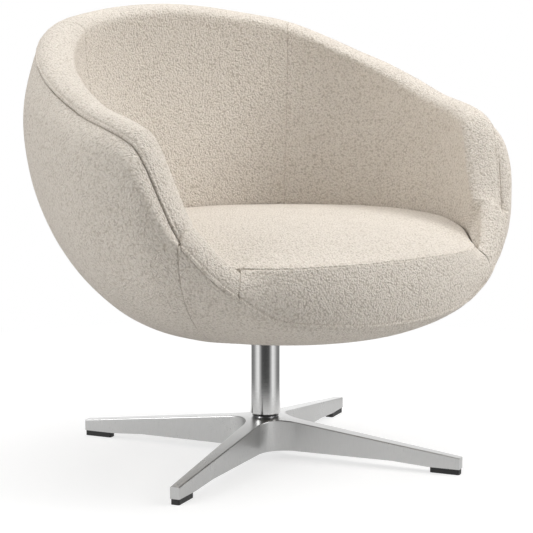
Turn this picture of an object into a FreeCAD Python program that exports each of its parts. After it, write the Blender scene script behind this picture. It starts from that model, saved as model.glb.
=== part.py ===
import FreeCAD, Part
import os
from math import acos, ceil, cos, degrees, hypot, radians, sin, sqrt

# Swivel armchair: a round padded tub on a turning column and a four-legged cast base.
# Millimetres. The origin is under the middle of the chair's plan at the floor, +Z up, and the
# seat's front faces -Y. Pieces are drawn round the swivel axis and then moved forward with it.
# Directions round the axis are in degrees from the middle of the back, + towards +X.

V = FreeCAD.Vector
half_turn = 180.0
full_turn = 360.0
axis_forward = 20.0

# Tub, outside form
tub_bottom_height = 220.0
tub_bottom_radius = 125.0
tub_back_radius = 386.0
tub_side_radius = 390.0
tub_front_radius = 378.0
belly_back_height = 560.0
belly_front_height = 333.0
rim_back_height = 738.0
rim_front_height = 269.0
rim_inset = 23.0
plan_angles = (0.0, 45.0, 90.0, 135.0, 180.0)
back_corner_share = 1.031
front_corner_share = 1.021
belly_angles = (0.0, 60.0, 115.0, 180.0)
belly_drop_shares = (0.0, 0.0, 0.537, 1.0)
fullness_shares = (1.9, 1.9, 2.1, 2.2)
rim_angles = (0.0, 35.0, 65.0, 95.0, 115.0, 127.0, 138.0, 150.0, 180.0)
rim_drop_shares = (0.0, 0.044, 0.176, 0.321, 0.404, 0.707, 0.872, 0.972, 1.0)
inset_angles = (0.0, 90.0, 120.0, 180.0)
inset_shares = (1.0, 1.0, 0.0, 0.0)

# Padded rim that rolls over the back and the arms
rim_half_width = 36.0
rim_crown = 20.0
arm_end_lift = 28.0
arm_end_angle = 139.5
roll_angles = (0.0, 60.0, 100.0, 120.0, 130.0, 140.0, 180.0)
roll_width_shares = (1.0, 0.86, 0.74, 0.8, 0.62, 0.38, 0.38)
roll_crown_shares = (1.0, 0.85, 0.9, 1.0, 1.0, 1.0, 1.0)
roll_lift_shares = (0.0, 0.0, 0.0, 0.22, 0.85, 1.0, 1.0)

# Padding inside the tub, measured from the outside surface at seat level
back_padding = 115.0
side_padding = 72.0
arm_end_padding = 40.0
padding_angles = (0.0, 35.0, 65.0, 90.0, 108.0, 122.0, 131.0, 140.0, 180.0)
padding_back_shares = (1.0, 0.84, 0.4, 0.0, 0.0, 0.0, 0.0, 0.0, 0.0)
padding_end_shares = (0.0, 0.0, 0.0, 0.0, 0.28, 0.5, 0.64, 1.0, 1.0)
padding_foot_height = 300.0
padding_foot_rise = 9.0
padding_foot_drop = 14.0
cover_tuck_share = 0.34
back_seam_angle = 42.0
inside_hollow_share = 0.012
slope_share = 0.0005

# Seat cushion
piping_height = 366.0
front_roll_depth = 47.0
front_bulge = 9.0
seat_back_rise = 32.0
seat_crown = 44.0
seat_rise_angles = (0.0, 90.0, 108.0, 122.0, 131.0, 140.0, 180.0)
seat_rise_shares = (1.0, 1.0, 0.9, 0.6, 0.25, 0.0, 0.0)
seat_front_angles = (140.0, 148.0, 162.0, 180.0)
seat_front_shares = (0.0, -0.7, 0.3, 1.0)
crown_power = 2.6
crown_shares = (0.9, 0.74, 0.52, 0.26)

# Thicknesses and clearances
cover_thickness = 4.0
shell_thickness = 6.0
layer_gap = 1.0
seam_gap = 0.6
seat_gap = 0.3
cushion_gap = 1.3
dart_angle = 127.0
shell_edge_drop = 8.0
foam_corner_drop = 4.0

# Column and swivel bearing
sleeve_radius = 25.0
sleeve_wall = 3.0
sleeve_chamfer = 2.4
sleeve_foot_gap = 4.0
post_radius = 19.0
running_gap = 0.05
bush_length = 28.0
bush_flange_radius = 23.4
bush_flange_thickness = 2.0
upper_bush_drop = 3.0
race_thickness = 3.0
race_radius = 20.5
race_bore_radius = 8.0
roller_radius = 1.5
roller_length = 7.0
roller_ring_radius = 14.0
roller_count = 12
cage_thickness = 1.4
cage_width = 10.0
cage_hole_gap = 0.1
bearing_play = 0.05
cap_thickness = 8.0
pivot_bolt_radius = 5.0
pivot_hole_gap = 0.4
pivot_bolt_depth = 26.0
pivot_head_radius = 8.4
pivot_head_height = 5.0
pivot_socket_across = 8.0
pivot_socket_depth = 3.0
pivot_washer_radius = 11.0
pivot_washer_thickness = 1.6

# Seat plate and its fasteners
plate_thickness = 5.0
plate_radius = 102.0
plate_hole_radius = 13.0
plate_slot_radius = 58.0
plate_slot_half_width = 12.0
plate_slot_turn = 50.0
bolt_count = 4
bolt_ring_radius = 86.0
bolt_ring_turn = 45.0
bolt_hole_gap = 0.4
bolt_radius = 4.0
bolt_head_height = 5.3
bolt_head_across = 13.0
washer_radius = 8.0
washer_thickness = 1.6
tee_flange_radius = 10.0
tee_flange_thickness = 1.5
tee_barrel_radius = 5.2
shell_flat_radius = 108.0
shell_hole_radius = 16.0
shell_lap = 3.0
shell_lap_inset = 1.0
dust_cover_thickness = 3.0
dust_cover_gap = 0.9

# Cast star base
leg_count = 4
leg_turn = 31.8
leg_reach = 345.0
leg_tip_width = 16.0
leg_root_width = 30.0
leg_tip_top = 28.0
leg_tip_bottom = 9.0
hub_top = 66.0
hub_bottom = 13.0
hub_flat_radius = 31.0
hub_fillet_radius = 48.0
leg_bottom_run = 60.0
cast_wall = 3.6
cast_top_wall = 4.4
cast_edge_radius = 1.5
rib_thickness = 2.4
rib_depth_share = 0.55
rib_count = 4
tip_block_length = 54.0
socket_radius = 30.0
taper_drop = 2.2
socket_floor = 8.0
socket_flat_height = 5.0
post_end_gap = 1.0
post_bolt_radius = 5.0
post_bolt_depth = 22.0
post_washer_radius = 14.0
post_washer_thickness = 2.5
post_head_height = 6.4
post_head_across = 17.0

# Rubber glides under the leg tips
glide_length = 50.0
glide_corner = 3.0
glide_inset = 0.6
glide_screw_radius = 2.0
glide_head_radius = 3.6
glide_head_height = 2.4
glide_head_recess = 3.0
glide_screw_length = 12.0
glide_screw_pitch = 28.0

# Counts of points that shape the skins, and the steps in degrees between their sections
wall_points = 8
boxing_points = 5
roll_points = 5
inside_points = 3
station_space = 5.0
steep_angles = (104.0, 157.0)
ring_stations = 48

# Values worked out from the sizes above
sleeve_inner = sleeve_radius - sleeve_wall
dust_top = tub_bottom_height + dust_cover_thickness
bolt_head_bottom = dust_top + dust_cover_gap
washer_bottom = bolt_head_bottom + bolt_head_height
plate_bottom = washer_bottom + washer_thickness
plate_top = plate_bottom + plate_thickness
shell_floor = plate_top + seat_gap
shell_floor_top = shell_floor + shell_thickness
tee_top = shell_floor_top + tee_flange_thickness
sleeve_foot = hub_top + sleeve_foot_gap
shell_depth = cover_thickness + layer_gap
shell_inner_depth = shell_depth + shell_thickness
foam_depth = shell_inner_depth + layer_gap
under_cover = cover_thickness + layer_gap
cap_bottom = plate_bottom - cap_thickness
upper_race_bottom = cap_bottom - race_thickness
roller_height = upper_race_bottom - bearing_play - roller_radius
lower_race_top = roller_height - roller_radius
post_top = lower_race_top - race_thickness
socket_bottom = hub_bottom + socket_floor
socket_flat = hub_top - socket_flat_height
seat_top_height = piping_height + seat_crown


def mix(a, b, t):
    return a + (b - a) * t


def knot_slopes(xs, ys):
    """Slopes that keep a cubic between its knots, with no overshoot."""
    steps = [b - a for a, b in zip(xs, xs[1:])]
    rises = [(b - a) / h for a, b, h in zip(ys, ys[1:], steps)]
    slopes = [0.0]
    for i in range(1, len(rises)):
        before, after = rises[i - 1], rises[i]
        if before * after <= 0:
            slopes.append(0.0)
            continue
        w1 = 2 * steps[i] + steps[i - 1]
        w2 = steps[i] + 2 * steps[i - 1]
        slopes.append((w1 + w2) / (w1 / before + w2 / after))
    return slopes + [0.0]


def around(angles, values, angle):
    """A value that follows the direction round the axis, alike on both sides."""
    a = abs((angle + half_turn) % full_turn - half_turn)
    a = min(max(a, angles[0]), angles[-1])
    slopes = knot_slopes(angles, values)
    i = 0
    while i < len(angles) - 2 and a > angles[i + 1]:
        i += 1
    h = angles[i + 1] - angles[i]
    t = (a - angles[i]) / h
    return ((1 + 2 * t) * (1 - t) ** 2 * values[i] + t * (1 - t) ** 2 * h * slopes[i]
            + t * t * (3 - 2 * t) * values[i + 1] + t * t * (t - 1) * h * slopes[i + 1])


# Forms that several pieces share

def belly_radius(a):
    """Plan radius of the tub at its widest."""
    back_corner = back_corner_share * (tub_back_radius + tub_side_radius) / 2
    front_corner = front_corner_share * (tub_side_radius + tub_front_radius) / 2
    radii = (tub_back_radius, back_corner, tub_side_radius, front_corner, tub_front_radius)
    return around(plan_angles, radii, a)


def belly_height(a):
    return mix(belly_back_height, belly_front_height, around(belly_angles, belly_drop_shares, a))


def rim_height(a):
    """Height of the rim seam, which falls from the back over the arms to the front."""
    return mix(rim_back_height, rim_front_height, around(rim_angles, rim_drop_shares, a))


def wall_radius(a, z):
    """Outside surface of the tub: radius in direction a at height z."""
    widest, middle = belly_radius(a), belly_height(a)
    if z < middle:
        power = around(belly_angles, fullness_shares, a)
        down = min(1.0, (middle - z) / (middle - tub_bottom_height))
        return mix(tub_bottom_radius, widest, (1 - down ** power) ** (1 / power))
    over = rim_height(a) - middle
    if over <= 0:
        return widest
    up = min(1.0, (z - middle) / over)
    return widest - rim_inset * around(inset_angles, inset_shares, a) * up * up


def wall_point(a, z, depth):
    """A point of the outside at height z, moved squarely inwards by depth."""
    step = (rim_height(a) - tub_bottom_height) * slope_share
    low = max(tub_bottom_height, z - step)
    high = low + 2 * step
    dr = wall_radius(a, high) - wall_radius(a, low)
    length = hypot(dr, high - low)
    return wall_radius(a, z) - depth * (high - low) / length, z + depth * dr / length


def wall_profile(a, depth, low, high):
    """Points up the outside between two heights, moved inwards by depth, closer at the foot."""
    span = rim_height(a) - tub_bottom_height
    first = acos(1 - (low - tub_bottom_height) / span)
    last = acos(max(0.0, 1 - (high - tub_bottom_height) / span))
    turns = [mix(first, last, i / (wall_points - 1)) for i in range(wall_points)]
    return [wall_point(a, tub_bottom_height + span * (1 - cos(t)), depth) for t in turns]


def seat_edge_height(a):
    """Height at which the cushion meets the inside of the tub, or its front seam."""
    return piping_height + seat_back_rise * around(seat_rise_angles, seat_rise_shares, a)


def seat_edge_radius(a):
    """Radius of the seat's edge, at the inside of the tub or at the front seam."""
    back = around(padding_angles, padding_back_shares, a)
    end = around(padding_angles, padding_end_shares, a)
    front = around(seat_front_angles, seat_front_shares, a)
    padding = side_padding + (back_padding - side_padding) * back
    padding += (arm_end_padding - side_padding) * end
    padding += (front_roll_depth - arm_end_padding) * front
    return wall_radius(a, seat_edge_height(a)) - padding


def crease(a):
    """Where the inside of the tub meets the cushion: radius and height."""
    lift = arm_end_lift * around(roll_angles, roll_lift_shares, a)
    return seat_edge_radius(a), min(seat_edge_height(a), rim_height(a) + lift - padding_foot_drop)


def padding_foot(a):
    """Lower end of the padding, where its slanted underside meets the shell."""
    rise = padding_foot_rise * around(roll_angles, roll_lift_shares, a)
    return wall_point(a, padding_foot_height + rise, foam_depth)


def inner_profile(a, depth, inset):
    """Three runs of points, moved inwards by depth: from near the rim seam over the roll, down
    the inside to the crease, and slanting down behind the seat."""
    seam_z = rim_height(a)
    seam_r = wall_radius(a, seam_z)
    half = rim_half_width * around(roll_angles, roll_width_shares, a)
    crown = rim_crown * around(roll_angles, roll_crown_shares, a)
    lift = arm_end_lift * around(roll_angles, roll_lift_shares, a)
    cr, cz = crease(a)
    fr, fz = padding_foot(a)
    start = degrees(acos(1 - inset / half))
    surface = []
    for k in range(roll_points):
        turn = radians(mix(start, half_turn, k / (roll_points - 1)))
        r = seam_r - half * (1 - cos(turn))
        surface.append((r, seam_z + crown * sin(turn) + lift * (1 - cos(turn)) / 2))
    er, ez = surface[-1]
    end = (mix(cr, fr - under_cover, cover_tuck_share), mix(cz, fz, cover_tuck_share))
    for k in range(inside_points):
        t = (k + 1) / inside_points
        hollow = inside_hollow_share * (ez - cz) * sin(radians(half_turn * t))
        surface.append((mix(er, cr, t) + hollow, mix(ez, cz, t)))
    surface.append(end)
    moved = []
    for i, (r, z) in enumerate(surface):
        r0, z0 = surface[max(0, i - 1)]
        r1, z1 = surface[min(len(surface) - 1, i + 1)]
        length = hypot(r1 - r0, z1 - z0)
        moved.append((r - depth * (z1 - z0) / length, z + depth * (r1 - r0) / length))
    return moved[:roll_points], moved[roll_points - 1:-1], moved[-2:]


# Ways of making solids

def place(a, point):
    """A radius and height, set in direction a."""
    return V(point[0] * sin(radians(a)), point[0] * cos(radians(a)), point[1])


def stations(start, end):
    """Evenly spaced directions at which sections are drawn, twice as close where the arms fall."""
    pairs = ceil((end - start) / station_space)
    angles = []
    for k in range(2 * pairs + 1):
        a = mix(start, end, k / (2 * pairs))
        off = abs((a + half_turn) % full_turn - half_turn)
        if k % 2 == 0 or steep_angles[0] < off < steep_angles[1]:
            angles.append(a)
    return angles


def chord_shares(runs):
    """Shares of the way along a run at which its points lie, averaged over its sections."""
    spans = [[hypot(q[0] - p[0], q[1] - p[1]) for p, q in zip(run, run[1:])] for run in runs]
    means = [sum(span) for span in zip(*spans)]
    return [sum(means[:i]) / sum(means) for i in range(len(means) + 1)]


def smooth_line(points, parameters):
    """A curve through points at given parameters: straight through two, smooth through more."""
    curve = Part.BSplineCurve()
    if len(points) == 2:
        curve.buildFromPolesMultsKnots(points, (2, 2), (0.0, 1.0), False, 1)
    else:
        curve.interpolate(Points=points, Parameters=parameters)
    return curve


def skin(angles, runs):
    """A smooth surface through one run of points in each direction round the axis."""
    shares = chord_shares(runs)
    across = [smooth_line([place(a, p) for p in run], shares) for a, run in zip(angles, runs)]
    rows = zip(*[curve.getPoles() for curve in across])
    round_it = [smooth_line(list(row), angles) for row in rows]
    poles = list(zip(*[curve.getPoles() for curve in round_it]))
    u, v = round_it[0], across[0]
    surface = Part.BSplineSurface()
    surface.buildFromPolesMultsKnots(poles, u.getMultiplicities(), v.getMultiplicities(),
                                     u.getKnots(), v.getKnots(), False, False, u.Degree, v.Degree)
    return surface


def sewn(faces):
    shell = Part.Shell(faces)
    shell.sewShape()
    solid = Part.Solid(shell)
    if solid.Volume < 0:
        solid.reverse()
    return solid


def wrapped(start, end, section):
    """A solid round the axis from its sections, each a closed ring of runs of points."""
    angles = stations(start, end)
    skins = [skin(angles, runs) for runs in zip(*[section(a) for a in angles])]
    faces = [surface.toShape() for surface in skins]
    if end - start < full_turn:
        for side in (angles[0], angles[-1]):
            faces.append(Part.Face(Part.Wire([surface.uIso(side).toShape() for surface in skins])))
    return sewn(faces)


def panel(start, end, outside, inside):
    """A sewn or moulded panel between two faces that run round the axis."""
    def section(a):
        over, under = outside(a), inside(a)[::-1]
        return over, [over[-1], under[0]], under, [under[-1], over[0]]

    return wrapped(start, end, section)


def mirrored(shape):
    return shape.mirror(V(0, 0, 0), V(1, 0, 0))


def outline(radius, height):
    """A closed smooth line round the axis, with its radius and height given by direction."""
    angles = [full_turn * k / ring_stations for k in range(ring_stations)]
    curve = Part.BSplineCurve()
    curve.interpolate([place(a, (radius(a), height(a))) for a in angles], PeriodicFlag=True)
    return Part.Wire([curve.toShape()])


def rod(radius, low, high):
    return Part.makeCylinder(radius, high - low, V(0, 0, low))


def ring(outer_radius, inner_radius, low, high):
    return rod(outer_radius, low, high).cut(rod(inner_radius, low, high))


def turned(points):
    """A solid of revolution about the swivel axis from its radius and height corners."""
    corners = [V(r, 0, z) for r, z in points]
    face = Part.Face(Part.makePolygon(corners + corners[:1]))
    return face.revolve(V(0, 0, 0), V(0, 0, 1), full_turn)


def set_round(shape, count, radius, turn):
    """Copies of a shape moved out to a radius and set evenly round the axis."""
    copies = []
    for k in range(count):
        copy = shape.copy()
        copy.translate(V(radius, 0, 0))
        copy.rotate(V(0, 0, 0), V(0, 0, 1), turn + full_turn * k / count)
        copies.append(copy)
    return copies


def hexagon(across, low, high):
    corner = across / sqrt(3)
    turns = [radians(full_turn * k / 6) for k in range(6)]
    points = [V(corner * cos(t), corner * sin(t), low) for t in turns]
    return Part.Face(Part.makePolygon(points + points[:1])).extrude(V(0, 0, high - low))


# Tub

def outer_covers():
    """Outer cover and lower front cover, which meet at the two darts under the arm ends."""
    def top(a):
        return rim_height(a) - seam_gap / 2

    def outside(a):
        return wall_profile(a, 0.0, tub_bottom_height, top(a))

    def inside(a):
        return wall_profile(a, cover_thickness, tub_bottom_height, top(a))

    half_gap = degrees(seam_gap / 2 / belly_radius(dart_angle))
    sides = panel(half_gap - dart_angle, dart_angle - half_gap, outside, inside)
    front = panel(dart_angle + half_gap, full_turn - dart_angle - half_gap, outside, inside)
    return sides, front


def tub_shell():
    """Moulded bowl whose floor is raised to leave room for the plate under it."""
    def side(depth):
        def profile(a):
            top = rim_height(a) - shell_edge_drop
            return wall_profile(a, depth, tub_bottom_height, top)
        return profile

    bowl = panel(-half_turn, half_turn, side(shell_depth), side(shell_inner_depth))
    low = tub_bottom_height + shell_depth + shell_lap_inset
    high = tub_bottom_height + shell_inner_depth - shell_lap_inset
    wall = shell_flat_radius + shell_thickness
    lap = tub_bottom_radius + shell_lap
    floor = turned([(shell_hole_radius, shell_floor), (shell_flat_radius, shell_floor),
                    (shell_flat_radius, low), (lap, low), (lap, high),
                    (wall, high), (wall, shell_floor_top),
                    (shell_hole_radius, shell_floor_top)])
    shell = bowl.fuse(floor)
    holes = set_round(rod(tee_barrel_radius, shell_floor, shell_floor_top), bolt_count,
                      bolt_ring_radius, bolt_ring_turn)
    return shell.cut(Part.Compound(holes))


def inner_padding():
    """Foam between the shell and the inner covers, from arm end to arm end."""
    def section(a):
        rise = padding_foot_rise * around(roll_angles, roll_lift_shares, a)
        back = wall_profile(a, foam_depth, padding_foot_height + rise, rim_height(a) - shell_edge_drop)
        roll, front, tuck = inner_profile(a, under_cover, foam_depth)
        return [back, [back[-1], roll[0]], roll, front, [front[-1], back[0]]]

    return wrapped(-arm_end_angle, arm_end_angle, section)


def inner_covers():
    """Covers of the inside of the back and of the arms, with a seam between them."""
    def section(a):
        over = inner_profile(a, 0.0, seat_gap)
        under = [run[::-1] for run in reversed(inner_profile(a, cover_thickness, seat_gap))]
        ends = [[over[-1][-1], under[0][0]], [under[-1][-1], over[0][0]]]
        return list(over) + ends[:1] + under + ends[1:]

    half_gap = degrees(seam_gap / 2 / tub_back_radius)
    back = wrapped(half_gap - back_seam_angle, back_seam_angle - half_gap, section)
    arm = wrapped(back_seam_angle + half_gap, arm_end_angle, section)
    return back, mirrored(arm), arm


# Seat

def crown_height(a, share, drop):
    """Height of the seat's crown at a share of the way out to its edge."""
    edge = seat_edge_height(a)
    return edge + (seat_top_height - edge) * (1 - share ** crown_power) - drop


def crown_skin(gap, drop):
    """The domed top of the seat, with its edge line first."""
    wires = [outline(lambda a, s=s: (seat_edge_radius(a) - gap) * s,
                     lambda a, s=s: crown_height(a, s, drop)) for s in (1.0,) + crown_shares]
    tip = Part.Vertex(0, 0, seat_top_height - drop)
    return wires[0], Part.makeLoft(wires + [tip], False)


def seat_top_cover():
    upper_edge, upper = crown_skin(cushion_gap, 0.0)
    lower_edge, lower = crown_skin(cushion_gap, cover_thickness)
    side = Part.makeRuledSurface(upper_edge, lower_edge)
    return sewn(upper.Faces + lower.Faces + side.Faces)


def seat_foam():
    """Foam body of the seat: down the padding's slant, then down the shell to its floor."""
    gap = under_cover
    edge, top = crown_skin(gap, under_cover)

    def corner(a):
        height = min(padding_foot_height - foam_corner_drop, rim_height(a) - shell_edge_drop)
        return wall_point(a, height, foam_depth + layer_gap)

    middle = outline(lambda a: corner(a)[0], lambda a: corner(a)[1])
    foot_height = tee_top + seat_gap
    foot_radius = shell_flat_radius - foam_corner_drop
    foot = outline(lambda a: foot_radius, lambda a: foot_height)
    sides = [Part.makeRuledSurface(edge, middle), Part.makeRuledSurface(middle, foot)]
    return sewn(top.Faces + [f for s in sides for f in s.Faces] + [Part.Face(foot)])


def seat_front_cover():
    """Boxing of the seat's front, from the rim seam up to the front seam."""
    def side(depth):
        def profile(a):
            low_r, low_z = wall_point(a, rim_height(a), depth)
            high_r = seat_edge_radius(a) - seat_gap - depth
            high_z = piping_height - cover_thickness - seam_gap
            points = []
            for i in range(boxing_points):
                t = i / (boxing_points - 1)
                bulge = front_bulge * sin(radians(half_turn * t))
                points.append((mix(low_r, high_r, t) + bulge, mix(low_z + seam_gap / 2, high_z, t)))
            return points
        return profile

    half_gap = degrees(seat_gap / tub_front_radius)
    start = arm_end_angle + half_gap
    return panel(start, full_turn - start, side(0.0), side(cover_thickness))


# Seat plate and its fasteners

def bottom_cover():
    return ring(tub_bottom_radius - seam_gap, sleeve_radius + dust_cover_gap,
                tub_bottom_height, dust_top)


def seat_plate():
    """Round steel plate with four curved slots, carried by the top of the sleeve."""
    plate = ring(plate_radius, plate_hole_radius, plate_bottom, plate_top)
    holes = set_round(rod(bolt_radius + bolt_hole_gap, plate_bottom, plate_top), bolt_count,
                      bolt_ring_radius, bolt_ring_turn)
    inner = plate_slot_radius - plate_slot_half_width
    outer = plate_slot_radius + plate_slot_half_width
    corners = [V(inner, 0, plate_bottom), V(outer, 0, plate_bottom),
               V(outer, 0, plate_top), V(inner, 0, plate_top)]
    face = Part.Face(Part.makePolygon(corners + corners[:1]))
    slot = face.revolve(V(0, 0, 0), V(0, 0, 1), plate_slot_turn)
    end = rod(plate_slot_half_width, plate_bottom, plate_top)
    for turn in (0.0, plate_slot_turn):
        slot = slot.fuse(set_round(end, 1, plate_slot_radius, turn)[0])
    slots = set_round(slot, bolt_count, 0.0, -plate_slot_turn / 2)
    return plate.cut(Part.Compound(holes + slots))


def plate_bolts():
    bolt = hexagon(bolt_head_across, bolt_head_bottom, washer_bottom)
    bolt = bolt.fuse(rod(bolt_radius, washer_bottom, tee_top))
    return Part.Compound(set_round(bolt, bolt_count, bolt_ring_radius, bolt_ring_turn))


def plate_washers():
    washer = ring(washer_radius, bolt_radius, washer_bottom, plate_bottom)
    return Part.Compound(set_round(washer, bolt_count, bolt_ring_radius, bolt_ring_turn))


def tee_nuts():
    nut = ring(tee_flange_radius, bolt_radius, shell_floor_top, tee_top)
    nut = nut.fuse(ring(tee_barrel_radius, bolt_radius, shell_floor, shell_floor_top))
    return Part.Compound(set_round(nut, bolt_count, bolt_ring_radius, bolt_ring_turn))


# Column and swivel bearing

def column_sleeve():
    """Turning tube, with a bevel round its lower end."""
    return turned([(sleeve_inner, sleeve_foot), (sleeve_radius - sleeve_chamfer, sleeve_foot),
                   (sleeve_radius, sleeve_foot + sleeve_chamfer), (sleeve_radius, plate_bottom),
                   (sleeve_inner, plate_bottom)])


def lower_bush():
    bore = post_radius + running_gap
    return turned([(bore, sleeve_foot - bush_flange_thickness),
                   (bush_flange_radius - sleeve_chamfer / 2, sleeve_foot - bush_flange_thickness),
                   (bush_flange_radius - sleeve_chamfer / 2, sleeve_foot), (sleeve_inner, sleeve_foot),
                   (sleeve_inner, sleeve_foot + bush_length), (bore, sleeve_foot + bush_length)])


def upper_bush():
    top = post_top - upper_bush_drop
    return ring(sleeve_inner, post_radius + running_gap, top - bush_length, top)


def top_cap():
    return ring(sleeve_inner, pivot_bolt_radius + pivot_hole_gap, cap_bottom, plate_bottom)


def thrust_race(low):
    return ring(race_radius, race_bore_radius, low, low + race_thickness)


def thrust_rollers():
    """Small rollers that lie along the radii between the two races."""
    roller = Part.makeCylinder(roller_radius, roller_length,
                               V(-roller_length / 2, 0, roller_height), V(1, 0, 0))
    return Part.Compound(set_round(roller, roller_count, roller_ring_radius, 0.0))


def roller_cage():
    low = roller_height - cage_thickness / 2
    high = roller_height + cage_thickness / 2
    cage = ring(roller_ring_radius + cage_width / 2, roller_ring_radius - cage_width / 2, low, high)
    length = roller_length + 2 * cage_hole_gap
    width = 2 * (roller_radius + cage_hole_gap)
    pocket = Part.makeBox(length, width, cage_thickness, V(-length / 2, -width / 2, low))
    return cage.cut(Part.Compound(set_round(pocket, roller_count, roller_ring_radius, 0.0)))


def socket_profile_radius(z):
    """Radius of the tapered socket in the hub at height z."""
    return post_radius - taper_drop * max(0.0, (socket_flat - z) / (socket_flat - socket_bottom))


def post():
    """Fixed post, tapered at its foot and drilled at both ends for its bolts."""
    end = socket_bottom + post_end_gap
    bar = turned([(0, end), (socket_profile_radius(end), end), (post_radius, socket_flat),
                  (post_radius, post_top), (0, post_top)])
    bar = bar.cut(rod(pivot_bolt_radius, post_top - pivot_bolt_depth, post_top))
    return bar.cut(rod(post_bolt_radius, end, end + post_bolt_depth))


def pivot_washer():
    low = plate_bottom + 2 * bearing_play
    return ring(pivot_washer_radius, pivot_bolt_radius, low, low + pivot_washer_thickness)


def pivot_bolt():
    """Socket-head bolt that holds the cap down on the post and lets it turn."""
    low = plate_bottom + 2 * bearing_play + pivot_washer_thickness
    high = low + pivot_head_height
    bolt = rod(pivot_head_radius, low, high)
    bolt = bolt.cut(hexagon(pivot_socket_across, high - pivot_socket_depth, high))
    return bolt.fuse(rod(pivot_bolt_radius, post_top - pivot_bolt_depth, low))


def post_washer():
    return ring(post_washer_radius, post_bolt_radius, hub_bottom - post_washer_thickness, hub_bottom)


def post_bolt():
    high = hub_bottom - post_washer_thickness
    bolt = hexagon(post_head_across, high - post_head_height, high)
    end = socket_bottom + post_end_gap
    return bolt.fuse(rod(post_bolt_radius, high, end + post_bolt_depth))


# Cast star base

def star(wall, end, fillet):
    """Upright solid on the plan of the legs, drawn in by a wall, with rounded inner corners."""
    root = leg_root_width / 2 - wall
    tip = mix(leg_root_width, leg_tip_width, end / leg_reach) / 2 - wall
    slope = (root - tip) / end
    inner = root / (1 + slope)
    points = []
    for k in range(leg_count):
        turn = radians(leg_turn + full_turn * k / leg_count)
        along = V(cos(turn), sin(turn), 0)
        across = V(-sin(turn), cos(turn), 0)
        points += [along * end - across * tip, along * end + across * tip,
                   along * inner + across * inner]
    solid = Part.Face(Part.makePolygon(points + points[:1])).extrude(V(0, 0, hub_top))
    near = leg_root_width
    corners = [e for e in solid.Edges
               if hypot(e.CenterOfMass.x, e.CenterOfMass.y) < near and e.Length > hub_top / 2
               and abs(e.CenterOfMass.z - hub_top / 2) < hub_top / 4]
    return solid.makeFillet(fillet, corners)


def top_height(r, drop):
    """Height of the legs' top at a radius, lowered by drop."""
    share = max(0.0, (r - hub_flat_radius) / (leg_reach - hub_flat_radius))
    return mix(hub_top, leg_tip_top, share) - drop


def envelope(drop):
    """Turned form that gives the legs their sloping top and their bottom."""
    reach = leg_reach + leg_root_width
    flat = leg_reach - tip_block_length
    run = flat - leg_bottom_run
    return turned([(0, hub_bottom), (run, hub_bottom), (flat, leg_tip_bottom), (reach, leg_tip_bottom),
                   (reach, top_height(reach, drop)), (hub_flat_radius, hub_top - drop),
                   (0, hub_top - drop)])


def star_base():
    """Cast base: four open-bottomed legs with cross ribs, and a hub with a tapered socket."""
    body = star(0.0, leg_reach, hub_fillet_radius).common(envelope(0.0))
    sharp = [e for e in body.Edges if is_top_edge(e)]
    body = body.makeFillet(cast_edge_radius, sharp)
    hollow = star(cast_wall, leg_reach - tip_block_length, hub_fillet_radius + cast_wall)
    low = envelope(cast_top_wall)
    below = Part.makeCylinder(leg_reach, hub_bottom + cast_wall)
    hollow = hollow.common(low.fuse(below))
    boss = rod(socket_radius, hub_bottom, hub_top - cast_top_wall)
    hollow = hollow.cut(boss)
    for rib in ribs():
        hollow = hollow.cut(rib)
    base = body.cut(hollow)
    socket = turned([(0, socket_bottom), (socket_profile_radius(socket_bottom), socket_bottom),
                     (post_radius, socket_flat), (post_radius, hub_top), (0, hub_top)])
    base = base.cut(socket).cut(rod(post_bolt_radius + pivot_hole_gap, hub_bottom, socket_bottom))
    drill = rod(glide_screw_radius, leg_tip_bottom, leg_tip_bottom + glide_screw_length)
    for radius in glide_screw_radii():
        base = base.cut(Part.Compound(set_round(drill, leg_count, radius, leg_turn)))
    return base


def is_top_edge(edge):
    """Whether an edge runs along the top of a leg, between its top and a side."""
    return edge.BoundBox.ZMin > leg_tip_top - cast_wall and edge.Length > hub_top - leg_tip_top


def ribs():
    """Plates across the hollow of each leg, hanging from its top."""
    start = socket_radius + hub_fillet_radius / 2
    stop = leg_reach - tip_block_length
    shapes = []
    for k in range(rib_count):
        r = mix(start, stop, (k + 0.5) / rib_count)
        high = top_height(r, 0.0)
        low = mix(high, hub_bottom, rib_depth_share)
        plate = Part.makeBox(rib_thickness, leg_root_width, high - low,
                             V(-rib_thickness / 2, -leg_root_width / 2, low))
        shapes += set_round(plate, leg_count, r, leg_turn)
    return shapes


# Glides

def glide_screw_radii():
    middle = leg_reach - glide_inset - glide_length / 2
    return middle - glide_screw_pitch / 2, middle + glide_screw_pitch / 2


def glide():
    """Rubber pad with rounded upright corners and two sunk screw holes, along +X."""
    width = leg_tip_width - 2 * glide_inset
    outer = leg_reach - glide_inset
    pad = Part.makeBox(glide_length, width, leg_tip_bottom, V(outer - glide_length, -width / 2, 0))
    upright = [e for e in pad.Edges if e.BoundBox.ZLength > leg_tip_bottom / 2]
    pad = pad.makeFillet(glide_corner, upright)
    for radius in glide_screw_radii():
        hole = rod(glide_screw_radius, 0, leg_tip_bottom)
        hole = hole.fuse(rod(glide_head_radius, 0, glide_head_recess + glide_head_height))
        hole.translate(V(radius, 0, 0))
        pad = pad.cut(hole)
    return pad


def glide_screws():
    low = glide_head_recess
    screw = rod(glide_head_radius, low, low + glide_head_height)
    screw = screw.fuse(rod(glide_screw_radius, low, leg_tip_bottom + glide_screw_length))
    screws = []
    for radius in glide_screw_radii():
        screws += set_round(screw, leg_count, radius, leg_turn)
    return Part.Compound(screws)


def save(name, shape):
    """Move a piece to its place on the plan and write it."""
    shape.translate(V(0, -axis_forward, 0))
    shape.exportStep("parts/" + name + ".step")
    print(name, "valid", shape.isValid(), "solids", len(shape.Solids), "volume", round(shape.Volume))


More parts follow.
